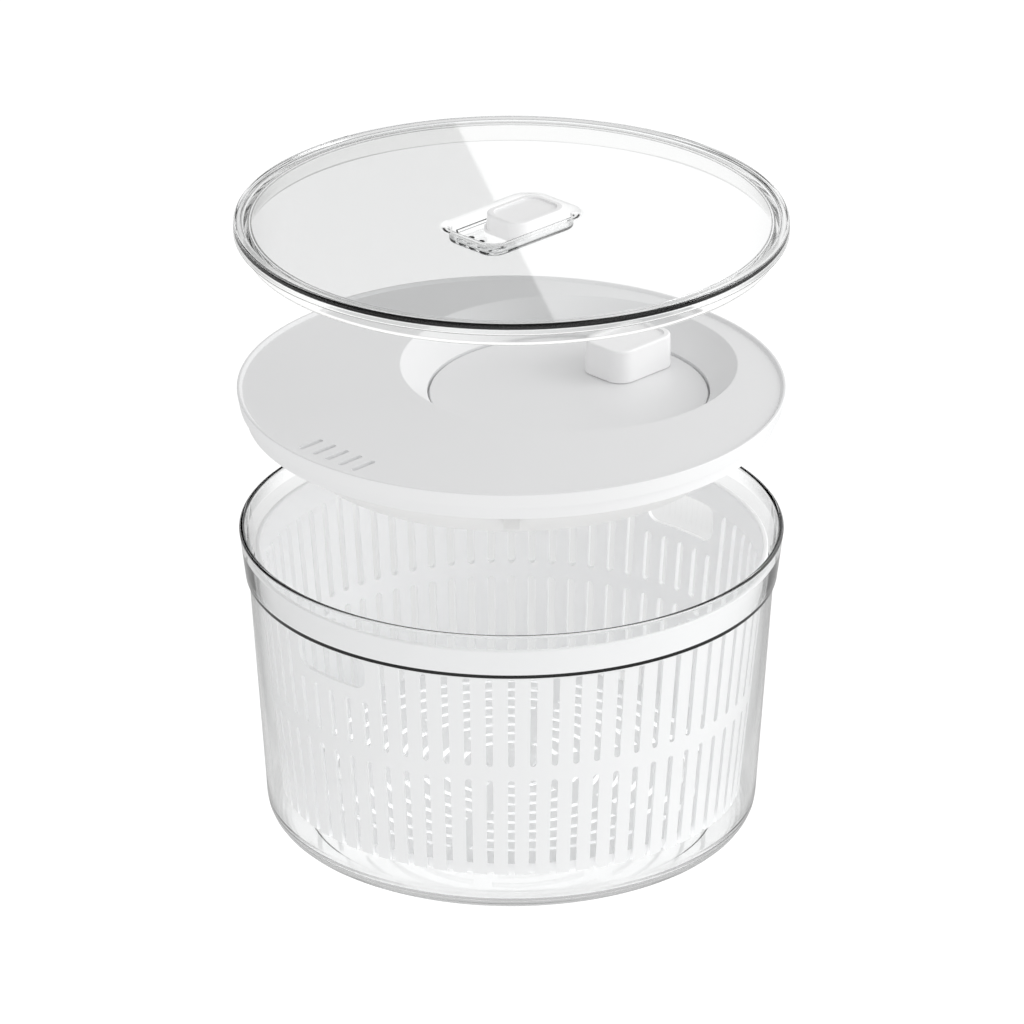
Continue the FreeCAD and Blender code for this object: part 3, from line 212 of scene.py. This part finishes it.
def rounded(corners, steps=7, closed=False):
    """The outline through corners of (x, y) or (x, y, fillet radius), with each fillet drawn in."""
    outline = []
    count = len(corners)
    for index, corner in enumerate(corners):
        here = Vector(corner[:2])
        radius = corner[2] if len(corner) > 2 else 0
        if not radius or (not closed and index in (0, count - 1)):
            outline.append(tuple(here))
            continue
        before = (Vector(corners[index - 1][:2]) - here).normalized()
        after = (Vector(corners[(index + 1) % count][:2]) - here).normalized()
        half = before.angle(after) / 2
        centre = here + (before + after).normalized() * radius / math.sin(half)
        start = here + before * radius / math.tan(half) - centre
        sweep = math.pi - 2 * half
        if before.x * after.y - before.y * after.x > 0:
            sweep = -sweep
        for step in range(steps + 1):
            turn = sweep * step / steps
            outline.append((centre.x + start.x * math.cos(turn) - start.y * math.sin(turn),
                            centre.y + start.x * math.sin(turn) + start.y * math.cos(turn)))
    return outline


def supported(outline, closed=False, gap=0.3):
    """The outline with a point close to each end of its long runs, so that shading stays flat there."""
    count = len(outline)
    result = []
    for index in range(count if closed else count - 1):
        start, end = Vector(outline[index]), Vector(outline[(index + 1) % count])
        result.append(tuple(start))
        if (end - start).length > 5 * gap:
            along = (end - start).normalized() * gap
            result += [tuple(start + along), tuple(end - along)]
    if not closed:
        result.append(outline[-1])
    return result


def loop_mesh(loops, closed=False):
    """Points and faces of a skin over loops that all have the same number of points. Unless closed,
    the first and last loops are capped."""
    count = len(loops[0])
    points = [point for loop in loops for point in loop]
    faces = []
    pairs = len(loops) if closed else len(loops) - 1
    for row in range(pairs):
        low = row * count
        high = ((row + 1) % len(loops)) * count
        for index in range(count):
            ahead = (index + 1) % count
            faces.append((low + index, low + ahead, high + ahead, high + index))
    if not closed:
        faces.append(tuple(reversed(range(count))))
        faces.append(tuple(range(len(points) - count, len(points))))
    return points, faces


def circle(radius, height, count):
    return [(radius * math.cos(2 * math.pi * index / count),
             radius * math.sin(2 * math.pi * index / count), height) for index in range(count)]


def lathe(outline, count, closed=False):
    """Points and faces of an outline of (radius, height) turned about Z. An open outline starts and
    ends close to the axis and is capped there."""
    fine = supported(outline, closed)
    return loop_mesh([circle(radius, height, count) for radius, height in fine], closed)


def box_loop(half_width, half_length, corner, height, count):
    """A rounded box whose points lie in the same directions as a circle's."""
    loop = []
    for index in range(count):
        turn = 2 * math.pi * index / count
        along, across = math.cos(turn), math.sin(turn)
        reach = min(half_width / max(abs(along), 1e-9), half_length / max(abs(across), 1e-9))
        if reach * abs(along) > half_width - corner and reach * abs(across) > half_length - corner:
            centre = (half_width - corner, half_length - corner)
            middle = abs(along) * centre[0] + abs(across) * centre[1]
            rest = centre[0] ** 2 + centre[1] ** 2 - corner ** 2
            reach = middle + math.sqrt(max(middle ** 2 - rest, 0))
        loop.append((reach * along, reach * across, height))
    return loop


def stadium(width, length):
    """A slot's outline with round ends, centred on the origin and running along Y."""
    steps = 9
    radius = width / 2
    straight = length / 2 - radius
    outline = []
    for middle, start in ((straight, 0), (-straight, math.pi)):
        for step in range(steps + 1):
            turn = start + math.pi * step / steps
            outline.append((radius * math.cos(turn), middle + radius * math.sin(turn)))
    return outline


def prism(outlines):
    """A closed solid through flat outlines, each a list of (x, y, z)."""
    return loop_mesh(outlines)


def merge(solids):
    """Several (points, faces) solids as one."""
    points, faces = [], []
    for some, sides in solids:
        start = len(points)
        points += some
        faces += [tuple(start + number for number in side) for side in sides]
    return points, faces


def combine(piece, solid, operation):
    """Cuts a closed solid from the piece or joins it on."""
    points, faces = solid
    mesh = bpy.data.meshes.new("tool")
    mesh.from_pydata([(x * MM, y * MM, z * MM) for x, y, z in points], [], faces)
    face_outward(mesh)
    tool = bpy.data.objects.new("tool", mesh)
    bpy.context.scene.collection.objects.link(tool)
    change = piece.modifiers.new("change", "BOOLEAN")
    change.operation = operation
    change.solver = "MANIFOLD"
    change.object = tool
    bpy.context.view_layer.update()
    seen = piece.evaluated_get(bpy.context.evaluated_depsgraph_get())
    result = bpy.data.meshes.new_from_object(seen)
    piece.modifiers.clear()
    old = piece.data
    piece.data = result
    result.name = piece.name
    bpy.data.meshes.remove(old)
    bpy.data.objects.remove(tool)
    bpy.data.meshes.remove(mesh)


# ---------------------------------------------------------------- clear bowl


def make_bowl():
    """The foot ring, the wall up to its shoulder and rim, and back down inside to the pin's boss."""
    outline = rounded([
        (0.02, 0.8), (91.4, 0.8, 0.3), (92, 0, 0.3), (110, 0, 12.5), (117.8, 118.7, 0.3),
        (119.4, 120.0, 0.3),
        (122, 141.4, 1), (119.5, 141.4, 1), (119.1, 134.4, 6), (117.2, 121.2, 0.5),
        (115.3, 118.4, 0.5), (115, 114, 3),
        (107.5, 2.6, 10), (12, 2.6, 2), (8, 11, 0.8), (3, 11, 0.3), (3, 3.4), (0.02, 3.4)])
    points, faces = lathe(outline, ROUND)
    return make_piece("clear_bowl", points, faces, clear, "clear_plastic", "bowl", "outer_bowl")


# ---------------------------------------------------------------- basket

FOOT_RADIUS, FOOT_LEVEL = 103.8, 17.1
NECK_RADIUS, NECK_LEVEL = 113.5, 117.4
LEAN = (NECK_RADIUS - FOOT_RADIUS) / (NECK_LEVEL - FOOT_LEVEL)
SLOTS_ROUND = 72
LOW_SLOT = (14.0, 65.8)
HIGH_SLOT = (72.8, 117.9)
SLOT_TOP_UNDER_GRIP = 95.9
SLOT_WIDTH, SLOT_FLARE = 2.9, 1.1
GRIP_WIDTH, GRIP_FOOT, GRIP_TOP, GRIP_CORNER = 41, 101.9, 119.1, 6
RIB_INSIDE, RIB_OUTSIDE, RIB_WIDTH = 109, 113.4, 2.2
RIB_FOOT, RIB_TOP = 121.4, 130.5
FLOOR_RINGS, FIRST_RING, RING_PITCH, RING_WIDTH = 8, 22, 9.2, 2.0
SPOKES, SPOKE_WIDTH = 6, 8.5


def slot_tool(turn, low, high):
    """A round-ended slot through the leaning wall, wider on its inner side."""
    middle = (low + high) / 2
    face = FOOT_RADIUS + LEAN * (middle - FOOT_LEVEL)
    rings = []
    for depth, flare in ((3, 0), (0, 0), (-2.6, SLOT_FLARE)):
        ring = []
        for across, rise in stadium(SLOT_WIDTH + flare, high - low + flare):
            reach = face + LEAN * rise + depth
            ring.append((reach * math.cos(turn) - across * math.sin(turn),
                         reach * math.sin(turn) + across * math.cos(turn), middle + rise))
        rings.append(ring)
    return prism(rings)


def arc_tool(turn, inner, width, sweep):
    """A ring slot in the basket's floor, wider at the top."""
    steps = 18
    outlines = []
    for height, extra in ((18, 0), (20.2, 0), (22.4, 0.9)):
        reach_in, reach_out = inner - extra / 2, inner + width + extra / 2
        half = sweep / 2
        angles = [turn - half + sweep * step / steps for step in range(steps + 1)]
        outline = [(reach_out * math.cos(angle), reach_out * math.sin(angle), height)
                   for angle in angles]
        outline += [(reach_in * math.cos(angle), reach_in * math.sin(angle), height)
                    for angle in reversed(angles)]
        outlines.append(outline)
    return prism(outlines)


def grip_tool():
    """A rounded window through the front and back of the wall."""
    outline = box_outline(GRIP_WIDTH, GRIP_TOP - GRIP_FOOT, GRIP_CORNER)
    middle = (GRIP_FOOT + GRIP_TOP) / 2
    return prism([[(x, y, middle + z) for x, z in outline] for y in (-130, 130)])


def box_outline(width, height, corner):
    return rounded([(-width / 2, -height / 2, corner), (width / 2, -height / 2, corner),
                    (width / 2, height / 2, corner), (-width / 2, height / 2, corner)],
                   steps=8, closed=True)


def block(low, high):
    (x0, y0, z0), (x1, y1, z1) = low, high
    return prism([[(x0, y0, z0), (x1, y0, z0), (x1, y1, z0), (x0, y1, z0)],
                  [(x0, y0, z1), (x1, y0, z1), (x1, y1, z1), (x0, y1, z1)]])


def rib_tools():
    """Four short upright ribs inside the rim, for the drive plate's lugs to push."""
    half = RIB_WIDTH / 2
    ribs = []
    for side in (1, -1):
        near, far = sorted((side * RIB_INSIDE, side * RIB_OUTSIDE))
        ribs.append(block((near, -half, RIB_FOOT), (far, half, RIB_TOP)))
        ribs.append(block((-half, near, RIB_FOOT), (half, far, RIB_TOP)))
    return ribs


def make_basket():
    """The turned basket, then its ribs, wall slots, grips and floor slots."""
    outline = rounded([
        (9, 19.1), (97.5, 19.1, 0.4), (97.5, FOOT_LEVEL, 0.4), (FOOT_RADIUS, FOOT_LEVEL, 0.6),
        (NECK_RADIUS, NECK_LEVEL, 1),
        (114.7, 118.2, 0.6), (115.1, 131.7, 0.9), (112.4, 131.7, 0.9), (112.2, 118.2, 1.2),
        (111.5, 115.4, 2), (102.2, 21.5, 1.6), (9, 21.5)], closed=True)
    points, faces = lathe(outline, BASKET_ROUND, closed=True)
    basket = make_piece("slotted_basket", points, faces, white_basket, "white_basket", None)
    combine(basket, merge(rib_tools()), "UNION")
    slots = []
    for number in range(SLOTS_ROUND):
        turn = 2 * math.pi * number / SLOTS_ROUND
        low, high = HIGH_SLOT
        if abs(number % (SLOTS_ROUND // 2) - SLOTS_ROUND // 4) <= 2:
            high = SLOT_TOP_UNDER_GRIP
        slots.append(slot_tool(turn, *LOW_SLOT))
        slots.append(slot_tool(turn, low, high))
    combine(basket, merge(slots), "DIFFERENCE")
    combine(basket, grip_tool(), "DIFFERENCE")
    arcs = []
    pitch = 2 * math.pi / SPOKES
    for number in range(FLOOR_RINGS):
        inner = FIRST_RING + RING_PITCH * number
        sweep = pitch - 2 * math.asin(SPOKE_WIDTH / 2 / inner)
        for spoke in range(SPOKES):
            arcs.append(arc_tool(pitch * (spoke + 0.5), inner, RING_WIDTH, sweep))
    combine(basket, merge(arcs), "DIFFERENCE")
    shade(basket.data)
    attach(basket, "basket")
    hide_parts("basket")
    return basket


# ---------------------------------------------------------------- clear lid

CLEAR_LID_LEVEL = 288.9
POCKET_WIDTH, POCKET_LENGTH, POCKET_CORNER = 29.0, 51.4, 6.0
RAIL_INSIDE, RAIL_OUTSIDE, RAIL_LENGTH = 13.2, 15.2, 40
RAIL_FOOT, RAIL_TOP = -6.0, -4.8
VENTS, VENT_PITCH, VENT_MIDDLE = 4, 6.3, -18.6
VENT_WIDTH, VENT_LENGTH = 3.0, 9.0
SEAL_GAP = 0.03


def make_clear_lid():
    """One skin from the pocket's floor over the plate, round the rim and back underneath."""

    def tray(offset, height):
        return box_loop(POCKET_WIDTH / 2 + offset, POCKET_LENGTH / 2 + offset,
                        POCKET_CORNER + offset, height, ROUND)

    def arc(offset, height, radius, start, end, rise=None):
        """Loops whose offset and height go round a quarter of an ellipse."""
        steps = 8
        loops = []
        for step in range(steps + 1):
            turn = math.radians(start + (end - start) * step / steps)
            loops.append(tray(offset + radius * math.cos(turn),
                              height + (rise or radius) * math.sin(turn)))
        return loops

    loops = arc(-1.0, -7.2, 1.0, -90, 0)
    loops += arc(4.6, -4.0, 4.6, 180, 90, 3.2)
    loops += [tray(5.0, -0.8), circle(60, -0.8, ROUND)]
    rim = rounded([
        (100, -0.8), (118.6, -0.8, 1), (119.6, 0, 0.5), (122.7, 0, 1.3), (122.7, -5.3, 0.5),
        (121.3, -5.3, 0.5), (121.3, -2.8, 0.4), (116, -2.8, 0.2), (116, -3.6, 0.3), (114.8, -3.6, 0.3),
        (114.8, -2.8, 0.2), (100, -2.8)])
    loops += [circle(radius, height, ROUND) for radius, height in supported(rim)]
    loops += [circle(60, -2.8, ROUND), tray(5.9, -2.8)]
    loops += arc(5.5, -5.8, 4.0, 90, 180, 3.0)
    loops += arc(-0.3, -7.7, 1.8, 0, -90)
    points, faces = loop_mesh(loops)
    points = [(x, y, z + CLEAR_LID_LEVEL) for x, y, z in points]
    lid = make_piece("clear_lid_plate", points, faces, clear, "clear_plastic", None)
    rails = []
    for side in (-1, 1):
        low, high = sorted((side * RAIL_INSIDE, side * RAIL_OUTSIDE))
        rails.append(block((low, -RAIL_LENGTH / 2, CLEAR_LID_LEVEL + RAIL_FOOT),
                           (high, RAIL_LENGTH / 2, CLEAR_LID_LEVEL + RAIL_TOP)))
    combine(lid, merge(rails), "UNION")
    vents = []
    for number in range(VENTS):
        across = (number - (VENTS - 1) / 2) * VENT_PITCH
        outline = [(across + x, VENT_MIDDLE + y) for x, y in stadium(VENT_WIDTH, VENT_LENGTH)]
        vents.append(prism([[(x, y, CLEAR_LID_LEVEL - 10.5) for x, y in outline],
                            [(x, y, CLEAR_LID_LEVEL - 7.2) for x, y in outline]]))
    combine(lid, merge(vents), "DIFFERENCE")
    shade(lid.data)
    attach(lid, "clear_lid")
    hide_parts("clear_lid")
    return lid


def make_seal():
    """The soft ring under the plate, a hair below it."""
    outline = rounded([
        (116.1, -2.8, 0.3), (118.2, -2.8, 0.3), (118.2, -10.6, 0.8), (117.6, -11.8, 0.5),
        (116.6, -11.8, 0.5), (116.1, -10.6, 0.8)], closed=True)
    outline = [(radius, height + CLEAR_LID_LEVEL - SEAL_GAP) for radius, height in outline]
    points, faces = lathe(outline, ROUND, closed=True)
    return make_piece("soft_seal", points, faces, seal_clear, "clear_seal", "clear_lid",
                      "lid_seal")


make_bowl()
make_basket()
make_seal()
make_clear_lid()


# ---------------------------------------------------------------- studio

# The camera: its direction from the part in radians, its lens in millimetres, the rest in metres.
AZIMUTH, ELEVATION = math.radians(45), math.radians(24.16)
LENS, FRAME_SHIFT = 298.83, 0.00054
AIM_LEVEL, DISTANCE = 0.1462, 3.80235
BACK = Vector((math.sin(AZIMUTH) * math.cos(ELEVATION),
               -math.cos(AZIMUTH) * math.cos(ELEVATION), math.sin(ELEVATION)))
EYE = Vector((0, 0, AIM_LEVEL)) + BACK * DISTANCE
RIGHT = (math.cos(AZIMUTH), math.sin(AZIMUTH), 0)
AHEAD = (-RIGHT[1], RIGHT[0], 0)

FLOOR_SIZE, FLOOR_DROP = 12, 0.0004
LAMP_PLACE, LAMP_AIM = (0.53, 0.53, 0.5), (0, 0, 0.15)
LAMP_SIZE, LAMP_POWER = 0.5, 1.8

# How bright the room is, and by how much each dark card or strip dims it, from 0 to 1.
ROOM_LIGHT, SIDE_LIGHT, FLOOR_LIGHT, UNDER_LIGHT = 1.0, 0.34, 1.1, 1.6
FLAG_DEPTH, TOP_DEPTH = 0.75, 0.62
STRIP_DEPTH, CONTACT_SHADOW_DEPTH, NEAR_DEPTH = 0.45, 0.5, 0.32

# Soft edges, as the two values where a change starts and ends. On the floor they are in metres.
STRIP_INSIDE, STRIP_OUTSIDE, STRIP_ENDS = (0.12, 0.17), (0.9, 0.7), (0.8, 0.6)
CONTACT_INSIDE, CONTACT_OUTSIDE = (0.094, 0.104), (0.128, 0.118)
NEAR_EDGE, UNDER_EDGE = (0.45, 0.3), (0.115, 0.09)
# In the room they are parts of a unit direction.
CARD_SLANT, CARD_BEHIND, CARD_FOOT, CARD_TOP = (0, 0.0006), (0.45, 0.6), (0.30, 0.34), (0.62, 0.50)
FLAG_SIDE, FLAG_TOP = (0.8, 0.9), (0.26, 0.18)
OVERHEAD_FOOT, OVERHEAD_SIDE = (0.48, 0.56), (0.45, 0.25)

# Where the slanting card's edge crosses the clear lid, and a place on its dark side, in millimetres.
CARD_LINE = ((-83.7, 53.8), (82.8, -59.7))
CARD_DARK_SIDE = (-53.5, -46.3)


class Studio:
    """Short names for the arithmetic nodes that shape the studio's light."""

    def __init__(self, tree):
        self.tree = tree

    def math(self, operation, first, second):
        node = self.tree.nodes.new("ShaderNodeMath")
        node.operation = operation
        for socket, value in zip(node.inputs, (first, second)):
            if isinstance(value, (int, float)):
                socket.default_value = value
            else:
                self.tree.links.new(value, socket)
        return node.outputs["Value"]

    def times(self, first, *rest):
        for value in rest:
            first = self.math("MULTIPLY", first, value)
        return first

    def rest_of(self, value):
        """1 less the value."""
        return self.math("SUBTRACT", 1.0, value)

    def along(self, vector, direction):
        """How far a vector reaches along a direction."""
        dot = self.tree.nodes.new("ShaderNodeVectorMath")
        dot.operation = "DOT_PRODUCT"
        dot.inputs[1].default_value = direction
        self.tree.links.new(vector, dot.inputs[0])
        return dot.outputs["Value"]

    def either_side(self, vector, direction):
        return self.math("ABSOLUTE", self.along(vector, direction), 0)

    def step(self, value, low, high):
        """0 up to low and 1 from high on, with a soft change between."""
        ramp = self.tree.nodes.new("ShaderNodeMapRange")
        ramp.interpolation_type = "SMOOTHSTEP"
        ramp.inputs["From Min"].default_value = low
        ramp.inputs["From Max"].default_value = high
        self.tree.links.new(value, ramp.inputs["Value"])
        return ramp.outputs["Result"]


def make_floor():
    """A plain pale floor that lights itself. Only reflections and refractions see its dark strips,
    the dark ring under the foot, which is a painted contact shadow, and the dimmer area round
    the part. White parts get extra fill light from the floor under the part."""
    mesh = bpy.data.meshes.new("floor")
    half = FLOOR_SIZE / 2
    mesh.from_pydata([(-half, -half, 0), (half, -half, 0), (half, half, 0), (-half, half, 0)],
                     [], [(0, 1, 2, 3)])
    floor = bpy.data.objects.new("floor", mesh)
    floor.location.z = -FLOOR_DROP
    bpy.context.scene.collection.objects.link(floor)
    material = bpy.data.materials.new("pale_floor")
    material.use_nodes = True
    tree = material.node_tree
    tree.nodes.clear()
    light = Studio(tree)
    output = tree.nodes.new("ShaderNodeOutputMaterial")
    glow = tree.nodes.new("ShaderNodeEmission")
    glow.inputs["Color"].default_value = (1, 1, 1, 1)
    spot = tree.nodes.new("ShaderNodeNewGeometry").outputs["Position"]
    path = tree.nodes.new("ShaderNodeLightPath").outputs
    length = tree.nodes.new("ShaderNodeVectorMath")
    length.operation = "LENGTH"
    tree.links.new(spot, length.inputs[0])
    far = length.outputs["Value"]
    across = light.either_side(spot, RIGHT)
    ahead = light.either_side(spot, AHEAD)
    strip = light.times(light.step(across, *STRIP_INSIDE), light.step(across, *STRIP_OUTSIDE),
                        light.step(ahead, *STRIP_ENDS))
    # A painted contact shadow: a dark ring on the floor round the bowl's foot, seen only in reflections
    # and refractions.
    contact_shadow = light.times(light.step(far, *CONTACT_INSIDE), light.step(far, *CONTACT_OUTSIDE))
    near = light.times(light.step(far, *NEAR_EDGE), NEAR_DEPTH)
    dark = light.math("MAXIMUM", light.times(strip, STRIP_DEPTH), light.times(contact_shadow, CONTACT_SHADOW_DEPTH))
    plain = light.math("MAXIMUM", path["Is Camera Ray"], path["Is Diffuse Ray"])
    dim = light.times(light.math("MAXIMUM", dark, near), light.rest_of(plain))
    under = light.times(light.step(far, *UNDER_EDGE), path["Is Diffuse Ray"], UNDER_LIGHT)
    level = light.times(light.rest_of(dim), FLOOR_LIGHT)
    tree.links.new(light.math("ADD", level, under), glow.inputs["Strength"])
    material.cycles.emission_sampling = "NONE"
    tree.links.new(glow.outputs["Emission"], output.inputs["Surface"])
    mesh.materials.append(material)
    return floor


def make_world():
    """A white room, a little brighter on the right. Only reflections and refractions see its dark
    cards: one low on each side, one overhead, and one behind whose slanting edge shows in the lid."""
    world = bpy.data.worlds.new("studio")
    bpy.context.scene.world = world
    world.cycles.sampling_method = "NONE"
    world.use_nodes = True
    tree = world.node_tree
    tree.nodes.clear()
    light = Studio(tree)
    output = tree.nodes.new("ShaderNodeOutputWorld")
    room_seen = tree.nodes.new("ShaderNodeBackground")
    plain_seen = tree.nodes.new("ShaderNodeBackground")
    plain_seen.inputs["Color"].default_value = (1, 1, 1, 1)
    sky = tree.nodes.new("ShaderNodeTexCoord").outputs["Generated"]
    path = tree.nodes.new("ShaderNodeLightPath").outputs
    height = light.along(sky, (0, 0, 1))
    room = light.math("ADD", ROOM_LIGHT, light.times(light.along(sky, RIGHT), SIDE_LIGHT))
    card = light.times(light.step(light.along(sky, card_edge()), *CARD_SLANT),
                       light.step(light.along(sky, AHEAD), *CARD_BEHIND),
                       light.step(height, *CARD_FOOT), light.step(height, *CARD_TOP))
    flag = light.times(light.step(light.either_side(sky, RIGHT), *FLAG_SIDE),
                       light.step(height, *FLAG_TOP), FLAG_DEPTH)
    overhead = light.times(light.step(height, *OVERHEAD_FOOT),
                           light.step(light.along(sky, RIGHT), *OVERHEAD_SIDE), TOP_DEPTH)
    carded = light.times(light.rest_of(overhead), light.rest_of(flag), light.rest_of(card))
    strength = light.times(room, light.math("MAXIMUM", carded, path["Is Diffuse Ray"]))
    tree.links.new(strength, room_seen.inputs["Strength"])
    mix = tree.nodes.new("ShaderNodeMixShader")
    tree.links.new(path["Is Camera Ray"], mix.inputs["Fac"])
    tree.links.new(room_seen.outputs["Background"], mix.inputs[1])
    tree.links.new(plain_seen.outputs["Background"], mix.inputs[2])
    tree.links.new(mix.outputs["Shader"], output.inputs["Surface"])


def card_edge():
    """The normal, towards the dark side, of the plane of the rays that the flat lid mirrors from the
    eye to the slanting card's edge."""
    rays = []
    for x, y in (*CARD_LINE, CARD_DARK_SIDE):
        ray = (Vector((x, y, CLEAR_LID_LEVEL)) * MM - EYE).normalized()
        rays.append(Vector((ray.x, ray.y, -ray.z)))
    start, end, dark_side = rays
    normal = start.cross(end).normalized()
    return normal if normal.dot(dark_side) > 0 else -normal


def make_lamp(name, place, aim, width, power):
    """A square lamp at a place, aimed at another."""
    light = bpy.data.lights.new(name, "AREA")
    light.size = width
    light.energy = power
    lamp = bpy.data.objects.new(name, light)
    lamp.location = place
    lamp.rotation_mode = "QUATERNION"
    lamp.rotation_quaternion = (Vector(aim) - Vector(place)).to_track_quat("-Z", "Y")
    bpy.context.scene.collection.objects.link(lamp)
    return lamp


def make_camera():
    data = bpy.data.cameras.new("camera")
    data.sensor_width = 36
    data.lens = LENS
    data.shift_x = FRAME_SHIFT
    data.clip_start, data.clip_end = 0.05, 60
    camera = bpy.data.objects.new("camera", data)
    camera.location = EYE
    camera.rotation_mode = "QUATERNION"
    camera.rotation_quaternion = (-BACK).to_track_quat("-Z", "Y")
    bpy.context.scene.collection.objects.link(camera)
    bpy.context.scene.camera = camera


make_floor()
make_world()
make_camera()
make_lamp("side", LAMP_PLACE, LAMP_AIM, LAMP_SIZE, LAMP_POWER)
scene = bpy.context.scene
scene.view_settings.view_transform = "Standard"
scene.view_settings.look = "None"
scene.cycles.transparent_max_bounces = 16
scene.cycles.max_bounces = 16
scene.cycles.diffuse_bounces = 8
scene.cycles.transmission_bounces = 16
